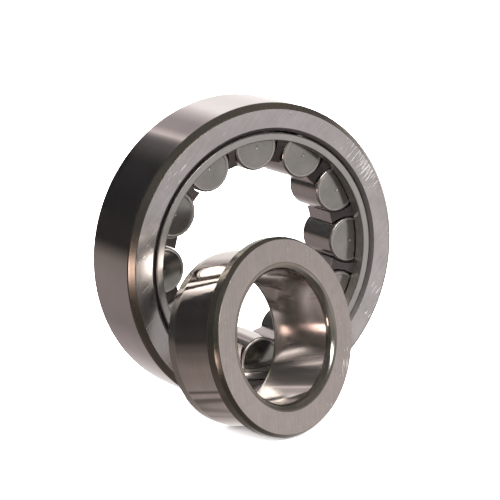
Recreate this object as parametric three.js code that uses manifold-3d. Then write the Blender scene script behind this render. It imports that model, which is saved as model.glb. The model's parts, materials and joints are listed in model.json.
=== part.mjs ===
// Single-row cylindrical roller bearing, 30 x 72 x 19 mm, taken apart into its two halves.
// The outer ring stands on its rim with the caged rollers in it. The flanged inner ring
// stands in front of it, turned to one side and tipped back onto the heel of its raceway.
// Millimetres, +Z up. The outer ring's axis runs along Y, and its open front looks along -Y.
// The origin is at the middle of the whole footprint, on the surface that the halves stand on.

import * as THREE from 'three';
import { mergeVertices } from 'three/addons/utils/BufferGeometryUtils.js';
import Module from 'manifold-3d';

const wasm = await Module();
wasm.setup();
const { Manifold, Mesh } = wasm;
const { degToRad } = THREE.MathUtils;

// ---- Driving dimensions of the bearing ----

const BORE_DIAMETER = 30;
const OUTSIDE_DIAMETER = 72;
const WIDTH = 19;
const ROLLER_COUNT = 12;
const ROLLER_DIAMETER = 11;
const ROLLER_LENGTH = 12;
const INNER_RACEWAY_DIAMETER = 40;
const RUNNING_CLEARANCE = 0.05;      // between a roller and the outer raceway
const END_CLEARANCE = 0.1;           // between a roller's end and a rib
const RING_CHAMFER = 1.3;            // outside edges of the outer ring
const RELIEF_DEPTH = 0.3;            // grinding relief beside each rib
const RELIEF_WIDTH = 0.6;

const OUTSIDE_RADIUS = OUTSIDE_DIAMETER / 2;
const HALF_WIDTH = WIDTH / 2;
const ROLLER_RADIUS = ROLLER_DIAMETER / 2;
const HALF_ROLLER = ROLLER_LENGTH / 2;
const INNER_RACEWAY_RADIUS = INNER_RACEWAY_DIAMETER / 2;
const PITCH_RADIUS = INNER_RACEWAY_RADIUS + ROLLER_RADIUS;
const OUTER_RACEWAY_RADIUS = PITCH_RADIUS + ROLLER_RADIUS + RUNNING_CLEARANCE;
const RIB_FACE = HALF_ROLLER + END_CLEARANCE;
const ROLLER_PITCH_ANGLE = 2 * Math.PI / ROLLER_COUNT;

// ---- Outer ring ----

const RIB_BORE_RADIUS = 29.5;
const RIB_CHAMFER = 0.8;

// ---- Inner ring ----

const BORE_RADIUS = BORE_DIAMETER / 2;
const BORE_ROUNDING = 1.8;           // rounded mouths of the bore
const FLANGE_RADIUS = 22.5;
const FLANGE_CHAMFER = 0.6;          // the flange's front edge, measured along the radius
const FLANGE_CHAMFER_LENGTH = 1.0;   // and along the axis
const FLANGE_EDGE_BREAK = 0.4;       // the flange's edge beside the raceway
const FLANGE_EDGE = -RIB_FACE - FLANGE_EDGE_BREAK;
const HEEL_RADIUS = 19.6;            // small end of the raceway's lead-in taper
const HEEL_CHAMFER = 1.1;
const HEEL = HALF_WIDTH - HEEL_CHAMFER;
const LEAD_IN_START = HALF_ROLLER;    // the raceway tapers from here to its heel

// ---- Rollers ----

const ROLLER_CORNER = 0.45;
const FIRST_ROLLER_ANGLE = degToRad(-1.7);

// ---- Cage ----

const CAGE_OUTER_RADIUS = 29.1;
const CAGE_RING_INNER_RADIUS = 27.3;
const CAGE_RECESS = 0.2;             // how far the cage lies behind the outer ring's faces
const CAGE_EDGE_BREAK = 0.25;
const POCKET_CLEARANCE = 0.25;       // between a roller and its pocket, all round
const BAR_INNER_RADIUS = 21.9;
const BAR_OUTER_RADIUS = 28.8;
const BAR_ROOT = 0.4;                // how far a bar runs into each cage ring

// ---- How the two halves stand ----

const INNER_RING_LEFT = 10.0;        // from the outer ring's centre to the inner ring's
const INNER_RING_FORWARD = 21.0;
const INNER_RING_YAW = degToRad(15.6);
const INNER_RING_TILT = Math.atan((FLANGE_RADIUS - HEEL_RADIUS) / (HEEL - FLANGE_EDGE));

// ---- Fineness ----

const RING_FACETS = 96;
const INNER_RING_FACETS = 72;
const ROLLER_FACETS = 24;
const POCKET_ARC_SEGMENTS = 6;
const MOUTH_ARC_SEGMENTS = 4;

const groundSteel = (color) => new THREE.MeshStandardMaterial({ color, roughness: 0.35, metalness: 1 });

// A body turned about the Y axis, from the [radius, y] corners of its section. A section that
// doesn't start on the axis is closed. Half a facet of turn puts a flat at the very bottom.
function turned(corners, facets) {
  const section = corners.map(([radius, y]) => new THREE.Vector2(radius, y));
  if (section[0].x > 0) section.push(section[0].clone());
  return new THREE.LatheGeometry(section, facets, Math.PI / facets);
}

// The same, with the middles of the flats at the stated radii instead of their edges.
function turnedAroundCircles(corners, facets) {
  const grow = 1 / Math.cos(Math.PI / facets);
  return turned(corners.map(([radius, y]) => [radius * grow, y]), facets);
}

// A whole section from its rear half: the front half is the mirror image.
function mirrored(rearHalf) {
  return [...rearHalf.map(([radius, y]) => [radius, -y]).reverse(), ...rearHalf];
}

function named(name, geometry, material) {
  const mesh = new THREE.Mesh(geometry, material);
  mesh.name = name;
  return mesh;
}

function solidOf(geometry) {
  const bare = geometry.clone();
  bare.deleteAttribute('normal');
  bare.deleteAttribute('uv');
  const merged = mergeVertices(bare, 1e-4);
  return new Manifold(new Mesh({
    numProp: 3,
    vertProperties: merged.attributes.position.array,
    triVerts: new Uint32Array(merged.index.array),
  }));
}

function geometryOf(solid) {
  const mesh = solid.getMesh();
  const geometry = new THREE.BufferGeometry();
  geometry.setAttribute('position', new THREE.BufferAttribute(mesh.vertProperties, 3));
  geometry.setIndex(new THREE.BufferAttribute(mesh.triVerts, 1));
  geometry.computeVertexNormals();
  return geometry;
}

function outerRing() {
  const relief = OUTER_RACEWAY_RADIUS + RELIEF_DEPTH;
  const section = mirrored([
    [OUTSIDE_RADIUS, HALF_WIDTH - RING_CHAMFER],
    [OUTSIDE_RADIUS - RING_CHAMFER, HALF_WIDTH],
    [RIB_BORE_RADIUS + RIB_CHAMFER, HALF_WIDTH],
    [RIB_BORE_RADIUS, HALF_WIDTH - RIB_CHAMFER],
    [RIB_BORE_RADIUS, RIB_FACE],
    [relief, RIB_FACE],
    [relief, RIB_FACE - RELIEF_WIDTH],
    [OUTER_RACEWAY_RADIUS, RIB_FACE - RELIEF_WIDTH],
  ]);
  return named('outer_ring', turnedAroundCircles(section, RING_FACETS), groundSteel(0xa59f9b));
}

// The rounded mouth of the bore at the front, from the bore out to the ring's face.
function boreMouth() {
  const corners = [];
  for (let step = 0; step <= MOUTH_ARC_SEGMENTS; step++) {
    const angle = (Math.PI / 2) * step / MOUTH_ARC_SEGMENTS;
    corners.push([
      BORE_RADIUS + BORE_ROUNDING * (1 - Math.cos(angle)),
      BORE_ROUNDING * (1 - Math.sin(angle)) - HALF_WIDTH,
    ]);
  }
  return corners;
}

// The flange is the inner ring's front end, at -Y. Behind it are the raceway and its lead-in.
function innerRing() {
  const relief = INNER_RACEWAY_RADIUS - RELIEF_DEPTH;
  const mouth = boreMouth();
  const section = [
    ...mouth,
    [FLANGE_RADIUS - FLANGE_CHAMFER, -HALF_WIDTH],
    [FLANGE_RADIUS, FLANGE_CHAMFER_LENGTH - HALF_WIDTH],
    [FLANGE_RADIUS, FLANGE_EDGE],
    [FLANGE_RADIUS - FLANGE_EDGE_BREAK, -RIB_FACE],
    [relief, -RIB_FACE],
    [relief, RELIEF_WIDTH - RIB_FACE],
    [INNER_RACEWAY_RADIUS, RELIEF_WIDTH - RIB_FACE],
    [INNER_RACEWAY_RADIUS, LEAD_IN_START],
    [HEEL_RADIUS, HEEL],
    [HEEL_RADIUS - HEEL_CHAMFER, HALF_WIDTH],
    ...mouth.map(([radius, y]) => [radius, -y]).reverse(),
  ];
  return named('inner_ring', turnedAroundCircles(section, INNER_RING_FACETS), groundSteel(0xa69e97));
}

function roller(number) {
  const section = [
    [0, -HALF_ROLLER],
    [ROLLER_RADIUS - ROLLER_CORNER, -HALF_ROLLER],
    [ROLLER_RADIUS, ROLLER_CORNER - HALF_ROLLER],
    [ROLLER_RADIUS, HALF_ROLLER - ROLLER_CORNER],
    [ROLLER_RADIUS - ROLLER_CORNER, HALF_ROLLER],
    [0, HALF_ROLLER],
  ];
  const name = 'roller_' + String(number).padStart(2, '0');
  const mesh = named(name, turned(section, ROLLER_FACETS), groundSteel(0x85827b));
  const angle = (number - 1) * ROLLER_PITCH_ANGLE;
  mesh.position.set(PITCH_RADIUS * Math.sin(angle), 0, PITCH_RADIUS * Math.cos(angle));
  mesh.rotation.y = angle;
  return mesh;
}

function cageRing(end) {
  const innerFace = HALF_ROLLER + POCKET_CLEARANCE;
  const outerFace = HALF_WIDTH - CAGE_RECESS;
  const section = [
    [CAGE_RING_INNER_RADIUS, innerFace],
    [CAGE_OUTER_RADIUS, innerFace],
    [CAGE_OUTER_RADIUS, outerFace - CAGE_EDGE_BREAK],
    [CAGE_OUTER_RADIUS - CAGE_EDGE_BREAK, outerFace],
    [CAGE_RING_INNER_RADIUS + CAGE_EDGE_BREAK, outerFace],
    [CAGE_RING_INNER_RADIUS, outerFace - CAGE_EDGE_BREAK],
  ];
  const geometry = turned(section, RING_FACETS);
  return end === 'front' ? geometry.rotateX(Math.PI) : geometry;
}

// A bar's section, looking along the axis with the bar at the top: the pocket walls are
// parallel outside the pitch circle, and close round the rollers inside it to hold them in.
function barSection() {
  const half = ROLLER_PITCH_ANGLE / 2;
  const pocket = ROLLER_RADIUS + POCKET_CLEARANCE;
  const rollerX = PITCH_RADIUS * Math.sin(half);
  const rollerZ = PITCH_RADIUS * Math.cos(half);
  const lipAngle = Math.acos(
    (PITCH_RADIUS ** 2 + pocket ** 2 - BAR_INNER_RADIUS ** 2) / (2 * PITCH_RADIUS * pocket));
  const wall = Math.PI - half;                        // from the right roller towards the bar
  const lip = 1.5 * Math.PI - half - lipAngle;        // where the pocket meets the bar's inner end
  const reach = Math.sqrt(BAR_OUTER_RADIUS ** 2 - pocket ** 2);
  const outerX = reach * Math.sin(half) - pocket * Math.cos(half);
  const outerZ = reach * Math.cos(half) + pocket * Math.sin(half);
  const shape = new THREE.Shape();
  shape.absarc(rollerX, rollerZ, pocket, lip, wall, true);
  shape.lineTo(outerX, outerZ);
  shape.lineTo(-outerX, outerZ);
  shape.absarc(-rollerX, rollerZ, pocket, Math.PI - wall, Math.PI - lip, true);
  shape.closePath();
  return shape;
}

function cageBar(number) {
  const length = 2 * (HALF_ROLLER + POCKET_CLEARANCE + BAR_ROOT);
  const geometry = new THREE.ExtrudeGeometry(barSection(), {
    depth: length,
    bevelEnabled: false,
    curveSegments: POCKET_ARC_SEGMENTS,
  });
  geometry.rotateX(Math.PI / 2);
  geometry.translate(0, length / 2, 0);
  return geometry.rotateY((number - 0.5) * ROLLER_PITCH_ANGLE);
}

function cage() {
  const pieces = [cageRing('front'), cageRing('rear')];
  for (let number = 1; number <= ROLLER_COUNT; number++) pieces.push(cageBar(number));
  const joined = Manifold.union(pieces.map(solidOf));
  return named('cage', geometryOf(joined), groundSteel(0x9c9a96));
}

// The cage with its rollers turns as one group about the outer ring's axis.
function cageAndRollers() {
  const group = new THREE.Group();
  group.add(cage());
  for (let number = 1; number <= ROLLER_COUNT; number++) group.add(roller(number));
  group.rotation.y = FIRST_ROLLER_ANGLE;
  return group;
}

function outerHalf() {
  const group = new THREE.Group();
  group.add(outerRing(), cageAndRollers());
  group.position.z = OUTSIDE_RADIUS;
  return group;
}

// Tipped back until the heel of the raceway touches down, then turned to one side.
function innerHalf() {
  const ring = innerRing();
  ring.rotation.x = -INNER_RING_TILT;
  const group = new THREE.Group();
  group.add(ring);
  group.rotation.z = INNER_RING_YAW;
  const height = FLANGE_RADIUS * Math.cos(INNER_RING_TILT) + FLANGE_EDGE * Math.sin(INNER_RING_TILT);
  group.position.set(-INNER_RING_LEFT, -INNER_RING_FORWARD, height);
  return group;
}

function bearing() {
  const group = new THREE.Group();
  group.add(outerHalf(), innerHalf());
  const footprint = new THREE.Box3().setFromObject(group, true);
  group.position.y = -footprint.getCenter(new THREE.Vector3()).y;
  return group;
}

export default bearing();
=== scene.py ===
"""The looks of a cylindrical roller bearing, taken apart into its two halves.

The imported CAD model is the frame: every finished piece below stands for one CAD node, sits where
the frame says, and turns with that node's body. Lengths are millimetres until a mesh is placed,
and each piece is modelled about its own axis, along Y, with its middle at the origin.
"""

import json
import math

import bmesh
import bpy
from mathutils import Matrix, Vector


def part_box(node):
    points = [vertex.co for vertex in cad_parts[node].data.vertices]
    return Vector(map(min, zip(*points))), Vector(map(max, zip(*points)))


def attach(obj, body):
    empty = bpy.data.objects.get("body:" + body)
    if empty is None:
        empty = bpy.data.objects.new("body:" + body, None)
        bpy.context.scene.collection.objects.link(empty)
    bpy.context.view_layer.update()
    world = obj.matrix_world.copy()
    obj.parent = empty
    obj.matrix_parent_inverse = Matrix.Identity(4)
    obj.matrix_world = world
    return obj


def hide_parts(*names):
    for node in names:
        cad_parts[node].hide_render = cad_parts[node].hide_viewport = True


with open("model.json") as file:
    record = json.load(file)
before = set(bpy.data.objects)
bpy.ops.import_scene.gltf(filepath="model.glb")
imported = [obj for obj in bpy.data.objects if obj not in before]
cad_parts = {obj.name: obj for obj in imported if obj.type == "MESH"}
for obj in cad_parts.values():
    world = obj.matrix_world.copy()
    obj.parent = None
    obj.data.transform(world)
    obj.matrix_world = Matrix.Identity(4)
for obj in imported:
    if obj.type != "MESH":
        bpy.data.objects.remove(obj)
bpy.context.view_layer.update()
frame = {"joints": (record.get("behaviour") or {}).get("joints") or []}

MM = 0.001
OWN_PLACE = "own_place"

# ---- Sizes of the sections, in millimetres ----

# The bodies have the CAD model's sizes. The roundings of their small edges, the dish and centre
# mark of a roller's end and the slope of a bar's end are added here.

HALF_WIDTH = 9.5
RIB_FACE = 6.1
OUTER_RACEWAY_RADIUS = 31.05
INNER_RACEWAY_RADIUS = 20.0
RELIEF_DEPTH = 0.3
RELIEF_WIDTH = 0.6
RING_CHAMFER = 1.3
BORE_ROUNDING = 1.8
FACE_EDGE_ROUNDING = 0.15
RELIEF_ROUNDING = 0.12
RACEWAY_EDGE_ROUNDING = 0.05

OUTSIDE_RADIUS = 36.0
OUTSIDE_ROUNDING = 0.70
OUTER_FACE_ROUNDING = 0.22
RIB_BORE_RADIUS = 29.5
RIB_CHAMFER = 0.8
RIB_BORE_ROUNDING = 0.30
RIB_EDGE_ROUNDING = 0.10

BORE_RADIUS = 15.0
FLANGE_RADIUS = 22.5
FLANGE_CHAMFER = 0.6
FLANGE_CHAMFER_LENGTH = 1.0
FLANGE_ROUNDING = 0.50
FLANGE_EDGE_BREAK = 0.4
FLANGE_EDGE_ROUNDING = 0.20
LEAD_IN_START = 6.0
LEAD_IN_ROUNDING = 2.0
HEEL_RADIUS = 19.6
HEEL_CHAMFER = 1.1
HEEL_ROUNDING = 0.25
HEEL = HALF_WIDTH - HEEL_CHAMFER

PITCH_RADIUS = 25.5
ROLLER_COUNT = 12
ROLLER_RADIUS = 5.5
HALF_ROLLER = 6.0
ROLLER_CORNER = 0.45
ROLLER_RIM = 0.25
DISH_DEPTH = 0.04
DISH_SLOPE = 0.4
DISH_ROUNDING = 0.1
CENTRE_MARK_RADIUS = 0.45
CENTRE_MARK_DEPTH = 0.05
CENTRE_MARK_ROUNDING = 0.05

CAGE_OUTER_RADIUS = 29.1
CAGE_RING_INNER_RADIUS = 27.3
CAGE_FACE = 9.3
CAGE_EDGE_BREAK = 0.25
CAGE_POCKET_EDGE = 0.08
POCKET_CLEARANCE = 0.25
BAR_INNER_RADIUS = 21.9
BAR_OUTER_RADIUS = 28.8
BAR_ROOT = 0.4
BAR_SLOPE_START = 27.2
BAR_SLOPE = 0.35
BAR_EDGE_BREAK = 0.12
BAR_END_SHRINK = 0.95
LIP_WIDTH = 0.25
LIP_DROP = 0.02
LIP_TUCK = 0.075
LIP_RISE = 0.06
FIRST_ROLLER_ANGLE = math.radians(-1.7)

# Radians of turn about its own axis from one roller to the next.
ROLLER_TURN = 2.4

# ---- Fineness ----

RING_SEGMENTS = 360
CAGE_SEGMENTS = 240
ROLLER_SEGMENTS = 96
ARC_STEP = math.radians(9)
POCKET_STEPS = 18
SHARP_ANGLE = math.radians(28)
ON_AXIS = 1e-6

# ---- The camera and the room ----

# The camera's distance, its aim, the clip distances and the floor's size are metres; the lens and
# the sensor are millimetres, and so is how far the floor lies under the bearing.
CAMERA_AZIMUTH = math.radians(-31.86)
CAMERA_ELEVATION = math.radians(12.495)
CAMERA_DISTANCE = 504 * MM
CAMERA_AIM_RIGHT = 1.14 * MM
LENS = 154.2
SENSOR = 36.0
CLIP_START = 0.01
CLIP_END = 50
FLOOR_SIZE = 12.0
FLOOR_DROP = 0.01
PLAIN_LIGHT = (7.0, 7.0, 7.0)


# ---- Outlines and meshes ----

def rounded(corners, closed=True):
    """Points (radius, y, zone) of an outline of corners (radius, y, rounding, edge, surface).

    A corner's rounding is the radius of the arc that replaces it. Edge is the finish of that arc,
    and surface is the finish from the corner to the next one.
    """
    points = []
    count = len(corners)
    for index, (radius, y, rounding, edge, surface) in enumerate(corners):
        here = Vector((radius, y))
        at_end = not closed and index in (0, count - 1)
        if rounding <= 0 or at_end:
            points.append((radius, y, surface))
            continue
        back = (Vector(corners[index - 1][:2]) - here).normalized()
        on = (Vector(corners[(index + 1) % count][:2]) - here).normalized()
        half = back.angle(on) / 2
        centre = here + (back + on).normalized() * (rounding / math.sin(half))
        start = here + back * (rounding / math.tan(half)) - centre
        turn = math.pi - 2 * half
        side = 1 if start.x * (here - centre).y > start.y * (here - centre).x else -1
        steps = max(2, math.ceil(turn / ARC_STEP))
        for step in range(steps + 1):
            angle = side * turn * step / steps
            outwards = start.x * math.cos(angle) - start.y * math.sin(angle)
            along = start.x * math.sin(angle) + start.y * math.cos(angle)
            zone = edge if step < steps else surface
            points.append((centre.x + outwards, centre.y + along, zone))
    return points


def mirrored(rear, outside):
    """A whole outline from the corners of its rear part: the front part is the mirror image.

    Outside is the finish of the surface that joins the two parts at the start of the rear part.
    """
    front = []
    for index in reversed(range(len(rear))):
        radius, y, rounding, edge, _ = rear[index]
        surface = rear[index - 1][4] if index > 0 else outside
        front.append((radius, -y, rounding, edge, surface))
    return front + rear


def lathe(mesh, outline, segments, closed=True):
    """Adds a body turned about Y to a bmesh, from the points (radius, y, zone) of its outline."""
    rows = []
    for radius, y, _ in outline:
        if radius < ON_AXIS:
            rows.append([mesh.verts.new((0, y, 0))] * segments)
            continue
        ring = []
        for index in range(segments):
            angle = 2 * math.pi * index / segments
            ring.append(mesh.verts.new((radius * math.sin(angle), y, radius * math.cos(angle))))
        rows.append(ring)
    last = len(rows) if closed else len(rows) - 1
    for row in range(last):
        low = rows[row]
        high = rows[(row + 1) % len(rows)]
        for index in range(segments):
            on = (index + 1) % segments
            corners = []
            for vertex in (low[index], low[on], high[on], high[index]):
                if vertex not in corners:
                    corners.append(vertex)
            face = mesh.faces.new(corners)
            face.material_index = outline[row][2]


def piece_from(mesh, name, materials):
    """An object in millimetres from a bmesh, with all its faces turned outwards."""
    bmesh.ops.recalc_face_normals(mesh, faces=mesh.faces)
    data = bpy.data.meshes.new(name)
    mesh.to_mesh(data)
    mesh.free()
    for material in materials:
        data.materials.append(material)
    piece = bpy.data.objects.new(name, data)
    bpy.context.scene.collection.objects.link(piece)
    return piece


def finish_shading(piece):
    """Shades a piece smooth, with its sharp edges kept crisp and its flat faces flat."""
    piece.data.shade_smooth()
    piece.data.set_sharp_from_angle(angle=SHARP_ANGLE)
    weighted = piece.modifiers.new("face_weighted_normals", "WEIGHTED_NORMAL")
    weighted.keep_sharp = True
    weighted.weight = 100


def place(piece, centre, axis, turn, node):
    """Lays a piece's own axis along the given one and ties the piece to its CAD node.

    Centre is in metres, and turn is the piece's own turn about its axis. The materials are laid
    out in the piece's own coordinates, which the mesh keeps as an attribute.
    """
    piece.data.transform(Matrix.Scale(MM, 4))
    own = piece.data.attributes.new(OWN_PLACE, "FLOAT_VECTOR", "POINT")
    flat = [0.0] * (3 * len(piece.data.vertices))
    piece.data.vertices.foreach_get("co", flat)
    own.data.foreach_set("vector", flat)
    direction = Vector(axis).normalized()
    across = direction.cross(Vector((0, 0, 1))).normalized()
    upright = across.cross(direction)
    basis = Matrix((across, direction, upright)).transposed().to_4x4()
    spin = Matrix.Rotation(turn, 4, "Y")
    piece.data.transform(Matrix.Translation(Vector(centre)) @ basis @ spin)
    finish_shading(piece)
    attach(piece, node)
    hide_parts(node)


def joint_of(body):
    """The joint that carries a body, with its place and axis."""
    return next(joint for joint in frame["joints"] if joint["child"] == body)


def middle_of(node):
    """The middle of a CAD node's box, in metres."""
    low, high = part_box(node)
    return (low + high) / 2


# ---- Node helpers ----

class Nodes:
    """A short way to write a node tree: its methods add nodes and give their outputs."""

    def __init__(self, tree):
        self.tree = tree
        self.tree.nodes.clear()

    def add(self, kind, **settings):
        node = self.tree.nodes.new(kind)
        for key, value in settings.items():
            setattr(node, key, value)
        return node

    def feed(self, socket, value):
        if isinstance(value, bpy.types.NodeSocket):
            self.tree.links.new(value, socket)
        else:
            socket.default_value = value

    def math(self, operation, *values):
        node = self.add("ShaderNodeMath", operation=operation)
        for socket, value in zip(node.inputs, values):
            self.feed(socket, value)
        return node.outputs[0]

    def distance(self, first, second):
        """How far a point is from the origin of a plane, from its two coordinates there."""
        squares = [self.math("MULTIPLY", value, value) for value in (first, second)]
        return self.math("SQRT", self.math("ADD", *squares))

    def blend(self, first, second, share):
        """The mean of two values, with the first one counting for share."""
        weighed = self.math("MULTIPLY", first, share)
        return self.math("ADD", weighed, self.math("MULTIPLY", second, 1 - share))

    def parts(self, vector):
        node = self.add("ShaderNodeSeparateXYZ")
        self.feed(node.inputs[0], vector)
        return node.outputs[0], node.outputs[1], node.outputs[2]

    def vector(self, x, y, z):
        node = self.add("ShaderNodeCombineXYZ")
        for socket, value in zip(node.inputs, (x, y, z)):
            self.feed(socket, value)
        return node.outputs[0]

    def mapped(self, vector, scale, turn=(0, 0, 0)):
        node = self.add("ShaderNodeMapping")
        self.feed(node.inputs["Vector"], vector)
        node.inputs["Scale"].default_value = scale
        node.inputs["Rotation"].default_value = turn
        return node.outputs[0]

    def noise(self, vector, scale=1.0, detail=3.0, roughness=0.55):
        node = self.add("ShaderNodeTexNoise")
        self.feed(node.inputs["Vector"], vector)
        node.inputs["Scale"].default_value = scale
        node.inputs["Detail"].default_value = detail
        node.inputs["Roughness"].default_value = roughness
        return node.outputs[0]

    def span(self, value, low, high, to_low=0.0, to_high=1.0, smooth=False):
        node = self.add("ShaderNodeMapRange")
        node.interpolation_type = "SMOOTHSTEP" if smooth else "LINEAR"
        self.feed(node.inputs["Value"], value)
        self.feed(node.inputs["From Min"], low)
        self.feed(node.inputs["From Max"], high)
        self.feed(node.inputs["To Min"], to_low)
        self.feed(node.inputs["To Max"], to_high)
        return node.outputs[0]

    def mix(self, share, first, second):
        node = self.add("ShaderNodeMix", data_type="RGBA")
        self.feed(node.inputs[0], share)
        self.feed(node.inputs[6], first)
        self.feed(node.inputs[7], second)
        return node.outputs[2]

    def ramp(self, value, stops):
        node = self.add("ShaderNodeValToRGB")
        self.feed(node.inputs[0], value)
        elements = node.color_ramp.elements
        while len(elements) < len(stops):
            elements.new(0.5)
        for element, (position, colour) in zip(elements, stops):
            element.position = position
            element.color = (*colour, 1)
        return node.outputs[0]


# ---- Steel finishes ----

# The tone of the steel goes from dark to light over this span of the noise. The scale of its
# broad cloud is per metre, and the relief of its lines is in metres.
TONE_SPAN = (0.34, 0.66)
CLOUD_SCALE = 170
RELIEF_HEIGHT = 0.00004

# Scratches are where a noise along the lay is over a cut: long faint ones anywhere, and short
# ones that the wear makes many. Marks are (per metre, length in metres).
LONG_MARKS = (5000, 0.012)
LONG_MARK_EDGE = (0.75, 0.81)
LONG_MARK_LIGHT = 0.25
SHORT_MARKS = (4200, 0.003)
SHORT_MARK_EDGE = 0.06
UNWORN_CUT = 0.80
WEAR_LOWERS_CUT = 0.24
WORN_CORE = 0.3
SCRATCH_COLOUR = (0.82, 0.81, 0.79, 1)
SCRATCH_ROUGHNESS = 0.25


def lines_around(nodes, position, fineness, length):
    """Coordinates for fine lines that run round the axis on a turned or ground surface."""
    return nodes.mapped(position, (1 / length, fineness, 1 / length))


def lines_in_circles(nodes, position, fineness, length):
    """Coordinates for fine lines in circles about the axis on a flat face."""
    x, _, z = nodes.parts(position)
    slow = nodes.mapped(position, (1 / length, 1 / length, 1 / length))
    slow_x, _, slow_z = nodes.parts(slow)
    rings = nodes.math("MULTIPLY", nodes.distance(x, z), fineness)
    return nodes.vector(slow_x, rings, slow_z)


def lines_across(angle):
    """Coordinates for fine straight lines across a flat face, at an angle to its upright."""
    def coordinates(nodes, position, fineness, length):
        turned = nodes.mapped(position, (1, 1, 1), turn=(0, angle, 0))
        return nodes.mapped(turned, (fineness, 1 / length, 1 / length))
    return coordinates


def scratched(nodes, position, lay, worn):
    """How bright the scratches are at each place: a few long ones anywhere, and many where worn.

    Worn is a list of (x, z, radius, strength) on the face, in millimetres and from 0 to 1.
    """
    x, _, z = nodes.parts(position)
    wear = 0.0
    for centre_x, centre_z, radius, strength in worn:
        aside = nodes.math("SUBTRACT", x, centre_x * MM)
        above = nodes.math("SUBTRACT", z, centre_z * MM)
        away = nodes.distance(aside, above)
        full_to = WORN_CORE * radius * MM
        here = nodes.span(away, full_to, radius * MM, strength, 0, smooth=True)
        wear = nodes.math("ADD", wear, here)
    long_marks = nodes.noise(lay(nodes, position, *LONG_MARKS), detail=0)
    short_marks = nodes.noise(lay(nodes, position, *SHORT_MARKS), detail=0)
    sparse = nodes.span(long_marks, *LONG_MARK_EDGE, 0, LONG_MARK_LIGHT)
    cut = nodes.math("SUBTRACT", UNWORN_CUT, nodes.math("MULTIPLY", wear, WEAR_LOWERS_CUT))
    dense = nodes.span(nodes.math("SUBTRACT", short_marks, cut), 0, SHORT_MARK_EDGE)
    return nodes.math("MAXIMUM", sparse, dense)


def steel(name, light, dark, smoothest, roughest, lay, bump, fineness=4200, length=0.012,
          lines=0.55, worn=(), axis=None):
    """A steel finish: cloudy tone, fine lines of its lay, and brighter scratches where worn.

    Smoothest is the roughness where the tone is light, and roughest where it is dark. The lay is
    one of the line functions above, and bump is the strength of its relief. Fineness is lines per
    metre, length is how far a line runs in metres, and lines is their share of the tone. With an
    axis, the reflections are drawn out along it, as they are by lines that run round it.
    """
    material = bpy.data.materials.new(name)
    material.use_nodes = True
    nodes = Nodes(material.node_tree)
    shader = nodes.add("ShaderNodeBsdfPrincipled")
    output = nodes.add("ShaderNodeOutputMaterial")
    nodes.feed(output.inputs["Surface"], shader.outputs[0])
    position = nodes.add("ShaderNodeAttribute", attribute_name=OWN_PLACE).outputs["Vector"]

    fine = nodes.noise(lay(nodes, position, fineness, length), detail=4, roughness=0.65)
    broad = nodes.noise(position, scale=CLOUD_SCALE, detail=4, roughness=0.6)
    tone = nodes.span(nodes.blend(fine, broad, lines), *TONE_SPAN)
    colour = nodes.mix(tone, (*dark, 1), (*light, 1))
    rough = nodes.span(nodes.math("SUBTRACT", 1.0, tone), 0, 1, smoothest, roughest)
    if worn:
        bright = scratched(nodes, position, lay, worn)
        colour = nodes.mix(bright, colour, SCRATCH_COLOUR)
        rough = nodes.math("ADD", rough, nodes.math("MULTIPLY", bright, SCRATCH_ROUGHNESS))
    nodes.feed(shader.inputs["Base Color"], colour)
    nodes.feed(shader.inputs["Roughness"], rough)
    shader.inputs["Metallic"].default_value = 1.0

    relief = nodes.add("ShaderNodeBump")
    relief.inputs["Strength"].default_value = bump
    relief.inputs["Distance"].default_value = RELIEF_HEIGHT
    nodes.feed(relief.inputs["Height"], fine)
    nodes.feed(shader.inputs["Normal"], relief.outputs[0])
    if axis:
        shader.inputs["Anisotropic"].default_value = 1.0
        nodes.feed(shader.inputs["Tangent"], nodes.vector(*axis))
    return material


def ring_finishes(ring, axis, lay, worn):
    """The finishes of a ring, some with painted shade, in the order of the zone numbers below.

    Axis is the ring's own axis, which the reflections in its bore are drawn out along. Lay is the
    direction of the grinding lines on its faces, from the upright, and worn is where the faces
    are scratched.
    """
    return [
        steel(ring + "_ground_face", (0.55, 0.525, 0.52), (0.42, 0.40, 0.395), 0.14, 0.26,
              lines_across(lay), lines=0.35, bump=0.07, worn=worn),
        steel(ring + "_ground_outside", (0.58, 0.55, 0.55), (0.52, 0.49, 0.49), 0.04, 0.08,
              lines_around, bump=0.02),
        # The corners' dark base is partly turned finish and partly painted shade.
        steel(ring + "_turned_corner_painted_shade", (0.18, 0.163, 0.141), (0.115, 0.102, 0.086), 0.18, 0.28,
              lines_around, fineness=5000, bump=0.08),
        steel(ring + "_honed_raceway", (0.55, 0.51, 0.49), (0.47, 0.43, 0.41), 0.05, 0.10,
              lines_around, bump=0.03),
        steel(ring + "_ground_bore", (0.74, 0.69, 0.67), (0.64, 0.59, 0.57), 0.09, 0.12,
              lines_around, bump=0.02, axis=axis),
        # The rib's dark base is painted shade for the gap between the ring and the cage.
        steel(ring + "_rib_painted_shade", (0.26, 0.24, 0.24), (0.17, 0.16, 0.16), 0.30, 0.45,
              lines_around, bump=0.08),
        # The mouth's darker base is painted shade at the bore's rounded edge.
        steel(ring + "_rounded_mouth_painted_shade", (0.35, 0.33, 0.30), (0.25, 0.235, 0.21), 0.11, 0.17,
              lines_around, fineness=5000, bump=0.05),
        # The lead-in's darker base is painted shade, which dims the light it catches.
        steel(ring + "_lead_in_painted_shade", (0.40, 0.37, 0.345), (0.33, 0.305, 0.28), 0.12, 0.20,
              lines_around, bump=0.04),
    ]


FACE, OUTSIDE, CHAMFER, RACEWAY, BORE, RIB, MOUTH, LEAD_IN = range(8)

OUTER_FACE_LAY = math.radians(-44)
OUTER_FACE_WORN = [(30.5, 17.5, 7, 0.9), (26.5, 22, 8, 0.6), (31, -14, 8, 0.4), (-25, 22, 9, 0.3)]
INNER_FACE_LAY = math.radians(-6)
INNER_FACE_WORN = [(18, -10, 4, 0.6)]


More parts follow.
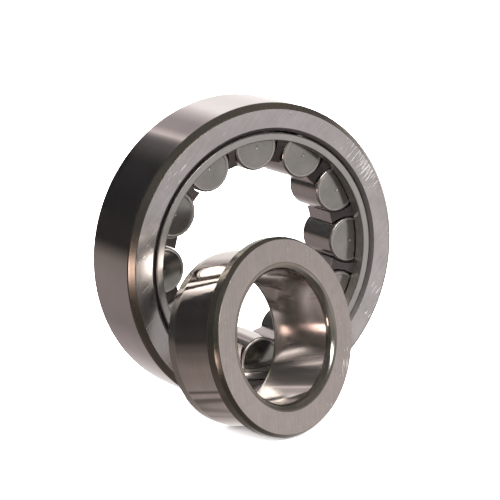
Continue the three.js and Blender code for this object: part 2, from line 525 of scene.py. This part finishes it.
def outer_ring_section():
    """The outer ring's section: its rear half, from the outside to the raceway, and the front."""
    relief = OUTER_RACEWAY_RADIUS + RELIEF_DEPTH
    relief_edge = RIB_FACE - RELIEF_WIDTH
    return mirrored([
        (OUTSIDE_RADIUS, HALF_WIDTH - RING_CHAMFER, OUTSIDE_ROUNDING, CHAMFER, CHAMFER),
        (OUTSIDE_RADIUS - RING_CHAMFER, HALF_WIDTH, OUTER_FACE_ROUNDING, CHAMFER, FACE),
        (RIB_BORE_RADIUS + RIB_CHAMFER, HALF_WIDTH, FACE_EDGE_ROUNDING, RIB, RIB),
        (RIB_BORE_RADIUS, HALF_WIDTH - RIB_CHAMFER, RIB_BORE_ROUNDING, RIB, RIB),
        (RIB_BORE_RADIUS, RIB_FACE, RIB_EDGE_ROUNDING, CHAMFER, RACEWAY),
        (relief, RIB_FACE, RELIEF_ROUNDING, CHAMFER, CHAMFER),
        (relief, relief_edge, RELIEF_ROUNDING, CHAMFER, CHAMFER),
        (OUTER_RACEWAY_RADIUS, relief_edge, RACEWAY_EDGE_ROUNDING, CHAMFER, RACEWAY),
    ], OUTSIDE)


def inner_ring_section():
    """The inner ring's section, from the front of the bore over the flange to the bore's rear."""
    relief = INNER_RACEWAY_RADIUS - RELIEF_DEPTH
    relief_edge = RELIEF_WIDTH - RIB_FACE
    flange_face = FLANGE_RADIUS - FLANGE_CHAMFER
    flange_start = FLANGE_CHAMFER_LENGTH - HALF_WIDTH
    flange_edge = -RIB_FACE - FLANGE_EDGE_BREAK
    flange_side = FLANGE_RADIUS - FLANGE_EDGE_BREAK
    return [
        (BORE_RADIUS, -HALF_WIDTH, BORE_ROUNDING, MOUTH, FACE),
        (flange_face, -HALF_WIDTH, FACE_EDGE_ROUNDING, CHAMFER, CHAMFER),
        (FLANGE_RADIUS, flange_start, FLANGE_ROUNDING, CHAMFER, CHAMFER),
        (FLANGE_RADIUS, flange_edge, FLANGE_EDGE_ROUNDING, CHAMFER, CHAMFER),
        (flange_side, -RIB_FACE, FACE_EDGE_ROUNDING, CHAMFER, RACEWAY),
        (relief, -RIB_FACE, RELIEF_ROUNDING, CHAMFER, CHAMFER),
        (relief, relief_edge, RELIEF_ROUNDING, CHAMFER, CHAMFER),
        (INNER_RACEWAY_RADIUS, relief_edge, RACEWAY_EDGE_ROUNDING, RACEWAY, RACEWAY),
        (INNER_RACEWAY_RADIUS, LEAD_IN_START, LEAD_IN_ROUNDING, RACEWAY, LEAD_IN),
        (HEEL_RADIUS, HEEL, HEEL_ROUNDING, LEAD_IN, CHAMFER),
        (HEEL_RADIUS - HEEL_CHAMFER, HALF_WIDTH, FACE_EDGE_ROUNDING, CHAMFER, FACE),
        (BORE_RADIUS, HALF_WIDTH, BORE_ROUNDING, MOUTH, BORE),
    ]


def outer_ring(finishes):
    mesh = bmesh.new()
    lathe(mesh, rounded(outer_ring_section()), RING_SEGMENTS)
    piece = piece_from(mesh, "outer_ring_finished", finishes)
    place(piece, middle_of("outer_ring"), (0, 1, 0), 0, "outer_ring")


def inner_ring(finishes):
    mesh = bmesh.new()
    lathe(mesh, rounded(inner_ring_section()), RING_SEGMENTS)
    piece = piece_from(mesh, "inner_ring_finished", finishes)
    joint = joint_of("inner_ring")
    place(piece, joint["pos_m"], joint["axis"], 0, "inner_ring")


# ---- Rollers ----

def roller_finishes():
    return [
        steel("roller_end", (0.36, 0.335, 0.322), (0.262, 0.262, 0.24), 0.15, 0.21,
              lines_across(0), fineness=900, length=0.004, lines=0.25, bump=0.015),
        # The rim's lighter base is a painted highlight round the edge of the roller's end.
        steel("roller_rim_painted_highlight", (0.46, 0.44, 0.42), (0.37, 0.355, 0.34), 0.30, 0.42,
              lines_in_circles, fineness=3000, length=0.01, bump=0.05),
        steel("roller_side", (0.58, 0.55, 0.54), (0.50, 0.47, 0.46), 0.08, 0.15,
              lines_around, bump=0.03),
        # The corner's dark base is painted shade: a dark outline round the roller's end.
        steel("roller_corner_painted_shade", (0.34, 0.32, 0.30), (0.24, 0.22, 0.21), 0.20, 0.32,
              lines_around, bump=0.03),
    ]


ROLLER_END, ROLLER_RIM_FACE, ROLLER_SIDE, ROLLER_EDGE = range(4)


def roller_section():
    """A roller's section: its rear half, from the corner to the axis, and the front."""
    rim = ROLLER_RADIUS - ROLLER_CORNER - ROLLER_RIM
    dish = HALF_ROLLER - DISH_DEPTH
    mark = CENTRE_MARK_RADIUS
    mark_inside = mark - CENTRE_MARK_DEPTH
    mark_level = dish - CENTRE_MARK_DEPTH
    return mirrored([
        (ROLLER_RADIUS, HALF_ROLLER, ROLLER_CORNER, ROLLER_EDGE, ROLLER_RIM_FACE),
        (rim, HALF_ROLLER, DISH_ROUNDING, ROLLER_END, ROLLER_END),
        (rim - DISH_SLOPE, dish, DISH_ROUNDING, ROLLER_END, ROLLER_END),
        (mark, dish, DISH_ROUNDING, ROLLER_END, ROLLER_END),
        (mark_inside, mark_level, CENTRE_MARK_ROUNDING, ROLLER_END, ROLLER_END),
        (0, mark_level, 0, ROLLER_END, ROLLER_END),
    ], ROLLER_SIDE)


def rollers():
    """All the rollers, each turned about its own axis so that their marks don't line up."""
    finishes = roller_finishes()
    outline = rounded(roller_section(), closed=False)
    for number in range(1, ROLLER_COUNT + 1):
        node = f"roller_{number:02d}"
        mesh = bmesh.new()
        lathe(mesh, outline, ROLLER_SEGMENTS, closed=False)
        piece = piece_from(mesh, node + "_finished", finishes)
        joint = joint_of(node)
        place(piece, joint["pos_m"], joint["axis"], ROLLER_TURN * number, node)


# ---- Cage ----

CAGE_FRONT, CAGE_SURFACE, BAR_SURFACE, BAR_END, CAGE_EDGE = range(5)


def cage_finishes():
    return [
        steel("cage_face", (0.43, 0.415, 0.40), (0.34, 0.325, 0.315), 0.26, 0.38,
              lines_in_circles, fineness=3000, length=0.008, bump=0.10),
        steel("cage_band", (0.55, 0.52, 0.49), (0.44, 0.41, 0.39), 0.25, 0.38,
              lines_around, bump=0.08),
        steel("cage_bar", (0.50, 0.46, 0.46), (0.38, 0.35, 0.35), 0.26, 0.38,
              lines_around, bump=0.06),
        # The bars' dark ends are painted shade for the hollows between the rollers.
        steel("cage_bar_end_painted_shade", (0.13, 0.115, 0.115), (0.08, 0.07, 0.07), 0.28, 0.40,
              lines_across(math.radians(90)), bump=0.10),
        # The edges' darker base is painted shade along the cage's edge breaks.
        steel("cage_edge_painted_shade", (0.22, 0.205, 0.195), (0.15, 0.14, 0.135), 0.30, 0.42,
              lines_around, bump=0.06),
    ]


def cage_ring_section(end):
    """One end ring of the cage: end is 1 for the rear and -1 for the front."""
    inner_face = end * (HALF_ROLLER + POCKET_CLEARANCE)
    outer_face = end * CAGE_FACE
    return [
        (CAGE_RING_INNER_RADIUS, inner_face, CAGE_POCKET_EDGE, CAGE_SURFACE, CAGE_SURFACE),
        (CAGE_OUTER_RADIUS, inner_face, CAGE_POCKET_EDGE, CAGE_SURFACE, CAGE_SURFACE),
        (CAGE_OUTER_RADIUS, outer_face, CAGE_EDGE_BREAK, CAGE_EDGE, CAGE_FRONT),
        (CAGE_RING_INNER_RADIUS, outer_face, CAGE_EDGE_BREAK, CAGE_EDGE, CAGE_SURFACE),
    ]


def bar_outline():
    """The section of the bar at the top, as points (x, z): concave pocket walls that are parallel
    outside the pitch circle and close round the rollers inside it."""
    half = math.pi / ROLLER_COUNT
    pocket = ROLLER_RADIUS + POCKET_CLEARANCE
    roller_x = PITCH_RADIUS * math.sin(half)
    roller_z = PITCH_RADIUS * math.cos(half)
    opening = math.acos(
        (PITCH_RADIUS ** 2 + pocket ** 2 - BAR_INNER_RADIUS ** 2) / (2 * PITCH_RADIUS * pocket))
    wall = math.pi - half
    lip = 1.5 * math.pi - half - opening
    reach = math.sqrt(BAR_OUTER_RADIUS ** 2 - pocket ** 2)
    outer_x = reach * math.sin(half) - pocket * math.cos(half)
    outer_z = reach * math.cos(half) + pocket * math.sin(half)
    right = []
    for step in range(POCKET_STEPS + 1):
        angle = lip + (wall - lip) * step / POCKET_STEPS
        right.append((roller_x + pocket * math.cos(angle), roller_z + pocket * math.sin(angle)))
    right.append((outer_x, outer_z))
    tip_x, tip_z = right[0]
    softened = [
        (tip_x - LIP_WIDTH, tip_z - LIP_DROP),
        (tip_x - LIP_TUCK, tip_z + LIP_RISE),
    ]
    right = softened + right[2:]
    left = [(-x, z) for x, z in reversed(right)]
    return right + left


def bar_end(side, shrink, extra):
    """One end of a bar as points: the end slopes back from the cage ring towards the axis.

    Shrink draws the outline in about the middle of the section, and extra lengthens the bar.
    """
    outline = bar_outline()
    middle = sum(z for _, z in outline) / len(outline)
    points = []
    for x, z in outline:
        slope = BAR_SLOPE * max(0.0, BAR_SLOPE_START - z)
        reach = HALF_ROLLER + POCKET_CLEARANCE + BAR_ROOT - slope + extra
        points.append(Vector((x * shrink, side * reach, middle + (z - middle) * shrink)))
    return points


def add_bar(mesh, angle):
    """Adds one bar of the cage to a bmesh, turned about Y, with the edges of its ends broken."""
    turn = Matrix.Rotation(angle, 4, "Y")
    loops = [
        bar_end(-1, BAR_END_SHRINK, 0),
        bar_end(-1, 1, -BAR_EDGE_BREAK),
        bar_end(1, 1, -BAR_EDGE_BREAK),
        bar_end(1, BAR_END_SHRINK, 0),
    ]
    rows = [[mesh.verts.new(turn @ point) for point in loop] for loop in loops]
    count = len(rows[0])
    for first, second in zip(rows, rows[1:]):
        for index in range(count):
            on = (index + 1) % count
            mesh.faces.new((first[index], first[on], second[on], second[index]))
    for row in (rows[0], rows[-1]):
        for index in range(count // 2 - 1):
            other = count - 1 - index
            cap = mesh.faces.new((row[index], row[index + 1], row[other - 1], row[other]))
            cap.material_index = BAR_END


def cage():
    """Two end rings and the bars between them, joined into one body."""
    finishes = cage_finishes()
    rings = bmesh.new()
    for end in (-1, 1):
        lathe(rings, rounded(cage_ring_section(end)), CAGE_SEGMENTS)
    piece = piece_from(rings, "cage_finished", finishes)
    bars = bmesh.new()
    for number in range(ROLLER_COUNT):
        add_bar(bars, FIRST_ROLLER_ANGLE + (number + 0.5) * 2 * math.pi / ROLLER_COUNT)
    for face in bars.faces:
        face.material_index = max(face.material_index, BAR_SURFACE)
    tool = piece_from(bars, "cage_bars", finishes)
    join = piece.modifiers.new("join", "BOOLEAN")
    join.operation = "UNION"
    join.solver = "EXACT"
    join.object = tool
    bpy.context.view_layer.update()
    joined = piece.evaluated_get(bpy.context.evaluated_depsgraph_get())
    piece.data = bpy.data.meshes.new_from_object(joined)
    piece.modifiers.clear()
    bpy.data.objects.remove(tool)
    place(piece, middle_of("outer_ring"), (0, 1, 0), 0, "cage")


# ---- The room ----

# What the steel reflects: for each elevation in degrees, the light round the compass as
# (azimuth from +Y towards +X, (red, green, blue)). A pale backdrop stands behind
# and to the right, and the room to the left of the bearing is dark.
ROOM = [
    (-85, [(-180, (0.38, 0.34, 0.33)), (180, (0.38, 0.34, 0.33))]),
    (-60, [(-180, (0.16, 0.14, 0.13)), (-60, (0.50, 0.435, 0.42)), (10, (0.56, 0.495, 0.48)),
           (60, (0.60, 0.55, 0.54)), (180, (0.16, 0.14, 0.13))]),
    (-32, [(-180, (0.20, 0.18, 0.17)), (-110, (0.18, 0.155, 0.14)), (-60, (0.36, 0.305, 0.285)),
           (-12, (0.30, 0.26, 0.25)), (6, (0.48, 0.42, 0.41)), (30, (0.95, 0.90, 0.88)),
           (110, (0.70, 0.62, 0.58)), (138, (0.50, 0.44, 0.42)), (150, (0.20, 0.18, 0.17)),
           (180, (0.20, 0.18, 0.17))]),
    (-16, [(-180, (0.34, 0.315, 0.30)), (-150, (0.30, 0.275, 0.265)), (-120, (0.14, 0.12, 0.11)),
           (-60, (0.22, 0.19, 0.17)), (-12, (0.40, 0.34, 0.33)), (6, (0.62, 0.55, 0.54)),
           (30, (1.00, 0.95, 0.93)), (110, (0.80, 0.72, 0.68)), (143, (1.16, 1.12, 1.10)),
           (146.5, (0.78, 0.75, 0.74)), (150, (0.16, 0.155, 0.14)), (166, (0.18, 0.165, 0.155)),
           (180, (0.34, 0.315, 0.30))]),
    (-11, [(-180, (0.45, 0.42, 0.40)), (-150, (0.40, 0.37, 0.355)), (-122, (0.12, 0.10, 0.09)),
           (-60, (0.15, 0.13, 0.12)), (-30, (0.30, 0.26, 0.235)), (0, (0.55, 0.50, 0.48)),
           (20, (1.20, 1.15, 1.12)), (70, (1.10, 1.05, 1.02)), (110, (0.60, 0.53, 0.49)),
           (144, (0.74, 0.70, 0.70)), (153, (0.68, 0.65, 0.65)), (180, (0.45, 0.42, 0.40))]),
    (-2, [(-180, (0.50, 0.46, 0.44)), (-150, (0.45, 0.42, 0.40)), (-130, (0.10, 0.09, 0.08)),
          (-60, (0.045, 0.040, 0.036)), (-20, (0.028, 0.026, 0.024)), (4, (0.50, 0.45, 0.44)),
          (18, (1.20, 1.15, 1.12)), (46, (1.10, 1.05, 1.00)), (56, (2.60, 2.50, 2.40)),
          (66, (1.60, 1.52, 1.46)), (90, (0.70, 0.64, 0.61)), (118, (0.67, 0.58, 0.535)),
          (150, (0.66, 0.62, 0.62)), (180, (0.50, 0.46, 0.44))]),
    (14, [(-180, (0.30, 0.28, 0.27)), (-150, (0.26, 0.24, 0.23)), (-130, (0.06, 0.055, 0.05)),
          (-60, (0.014, 0.013, 0.013)), (-14, (0.016, 0.015, 0.015)), (8, (0.40, 0.36, 0.36)),
          (18, (1.20, 1.15, 1.12)), (46, (1.10, 1.05, 1.00)), (56, (2.60, 2.50, 2.40)),
          (66, (1.30, 1.24, 1.19)), (88, (0.20, 0.18, 0.17)), (130, (0.25, 0.22, 0.21)),
          (180, (0.30, 0.28, 0.27))]),
    (26, [(-180, (0.20, 0.19, 0.18)), (-130, (0.06, 0.055, 0.05)), (-60, (0.016, 0.015, 0.015)),
          (-15, (0.026, 0.025, 0.025)), (-5, (0.10, 0.09, 0.09)), (-1, (0.32, 0.29, 0.28)),
          (2, (0.90, 0.80, 0.78)), (10, (0.56, 0.50, 0.50)), (16, (0.80, 0.73, 0.71)),
          (22, (1.35, 1.30, 1.26)), (56, (1.10, 1.05, 1.00)), (74, (0.28, 0.25, 0.24)),
          (90, (0.12, 0.105, 0.10)), (180, (0.20, 0.19, 0.18))]),
    (31, [(-180, (0.16, 0.15, 0.14)), (-60, (0.03, 0.028, 0.028)), (-13, (0.070, 0.066, 0.064)),
          (-5, (0.15, 0.135, 0.132)), (-2, (0.30, 0.27, 0.26)), (0, (1.00, 0.89, 0.85)),
          (4, (0.50, 0.445, 0.435)), (11, (0.46, 0.41, 0.41)), (15, (0.62, 0.56, 0.54)),
          (24, (1.15, 1.10, 1.06)), (56, (0.80, 0.76, 0.73)), (78, (0.12, 0.105, 0.10)),
          (180, (0.16, 0.15, 0.14))]),
    (52, [(-180, (0.05, 0.045, 0.04)), (-100, (0.02, 0.018, 0.016)), (-40, (0.045, 0.038, 0.032)),
          (0, (0.20, 0.165, 0.13)), (110, (0.26, 0.215, 0.17)), (180, (0.05, 0.045, 0.04))]),
    (82, [(-180, (0.12, 0.10, 0.085)), (180, (0.12, 0.10, 0.085))]),
]

# Three lamps in that room, and two darker strips low down in it: azimuth, elevation, half width
# and half height in degrees, and colour. They fade from the first to the second of LAMP_FADE
# times their half sizes.
LAMPS = [
    (-174, 29, 18, 5, (20.0, 19.4, 18.3)),
    (-111, -10, 9, 4.5, (16.0, 12.0, 10.7)),
    (163, 23, 8, 5, (6.5, 6.2, 6.0)),
    (-30, -50, 40, 1.0, (0.17, 0.15, 0.14)),
    (-30, -55, 30, 1.0, (0.19, 0.165, 0.155)),
]
LAMP_FADE = (0.6, 1.4)


def add_lamp(nodes, light, compass, elevation, lamp):
    """The room's light with one soft-edged lamp or strip laid over it."""
    azimuth, height, half_width, half_height, colour = lamp
    aside = nodes.math("SUBTRACT", compass, math.radians(azimuth))
    aside = nodes.math("ABSOLUTE", nodes.math("WRAP", aside, math.pi, -math.pi))
    above = nodes.math("ABSOLUTE", nodes.math("SUBTRACT", elevation, math.radians(height)))
    across = nodes.span(aside, *edges_of(half_width), 1, 0, smooth=True)
    upright = nodes.span(above, *edges_of(half_height), 1, 0, smooth=True)
    share = nodes.math("MULTIPLY", across, upright)
    return nodes.mix(share, light, (*colour, 1))


def edges_of(half_size):
    """Where a lamp starts to fade, and where it ends, in radians."""
    starts, ends = LAMP_FADE
    return math.radians(starts * half_size), math.radians(ends * half_size)


def room_light():
    """The world: the room above for what reflects it, and plain white light for the rest."""
    world = bpy.data.worlds.new("room")
    bpy.context.scene.world = world
    world.use_nodes = True
    nodes = Nodes(world.node_tree)
    direction = nodes.add("ShaderNodeTexCoord").outputs["Generated"]
    x, y, z = nodes.parts(direction)
    compass = nodes.math("ARCTAN2", x, y)
    around = nodes.span(compass, -math.pi, math.pi)
    elevation = nodes.math("ARCSINE", z)
    bands = []
    for degrees, stops in ROOM:
        places = [((azimuth + 180) / 360, colour) for azimuth, colour in stops]
        bands.append((math.radians(degrees), nodes.ramp(around, places)))
    light = bands[0][1]
    for (low, _), (high, band) in zip(bands, bands[1:]):
        light = nodes.mix(nodes.span(elevation, low, high, smooth=True), light, band)
    for lamp in LAMPS:
        light = add_lamp(nodes, light, compass, elevation, lamp)
    reflected = nodes.add("ShaderNodeLightPath").outputs["Is Glossy Ray"]
    shown = nodes.mix(reflected, (*PLAIN_LIGHT, 1), light)
    background = nodes.add("ShaderNodeBackground")
    output = nodes.add("ShaderNodeOutputWorld")
    nodes.feed(background.inputs["Color"], shown)
    nodes.feed(output.inputs["Surface"], background.outputs[0])


def floor():
    """A plain pale floor. Its own mirror image in the steel comes from the room above."""
    material = bpy.data.materials.new("pale_floor")
    material.use_nodes = True
    nodes = Nodes(material.node_tree)
    shader = nodes.add("ShaderNodeBsdfDiffuse")
    output = nodes.add("ShaderNodeOutputMaterial")
    position = nodes.add("ShaderNodeTexCoord").outputs["Object"]
    cloud = nodes.noise(position, scale=25, detail=2)
    colour = nodes.mix(cloud, (0.90, 0.895, 0.895, 1), (0.93, 0.925, 0.925, 1))
    nodes.feed(shader.inputs["Color"], colour)
    nodes.feed(output.inputs["Surface"], shader.outputs[0])
    mesh = bmesh.new()
    bmesh.ops.create_grid(mesh, x_segments=4, y_segments=4, size=FLOOR_SIZE / 2)
    data = bpy.data.meshes.new("floor")
    mesh.to_mesh(data)
    mesh.free()
    data.materials.append(material)
    ground = bpy.data.objects.new("floor", data)
    ground.location.z = -FLOOR_DROP * MM
    ground.visible_glossy = False
    bpy.context.scene.collection.objects.link(ground)


def camera():
    """Looks down a little at the outer ring's middle from the front left."""
    back = Vector((
        math.sin(CAMERA_AZIMUTH) * math.cos(CAMERA_ELEVATION),
        -math.cos(CAMERA_AZIMUTH) * math.cos(CAMERA_ELEVATION),
        math.sin(CAMERA_ELEVATION),
    ))
    right = Vector((math.cos(CAMERA_AZIMUTH), math.sin(CAMERA_AZIMUTH), 0))
    up = back.cross(right)
    data = bpy.data.cameras.new("camera")
    data.lens = LENS
    data.sensor_width = SENSOR
    data.clip_start = CLIP_START
    data.clip_end = CLIP_END
    place_at = middle_of("outer_ring") + back * CAMERA_DISTANCE + right * CAMERA_AIM_RIGHT
    turn = Matrix((right, up, back)).transposed().to_4x4()
    eye = bpy.data.objects.new("camera", data)
    eye.matrix_world = Matrix.Translation(place_at) @ turn
    bpy.context.scene.collection.objects.link(eye)
    bpy.context.scene.camera = eye


camera()
room_light()
floor()
bpy.context.scene.view_settings.view_transform = "Standard"

outer_ring(ring_finishes("outer_ring", (0, 1, 0), OUTER_FACE_LAY, OUTER_FACE_WORN))
inner_ring(ring_finishes(
    "inner_ring", joint_of("inner_ring")["axis"], INNER_FACE_LAY, INNER_FACE_WORN))
cage()
rollers()
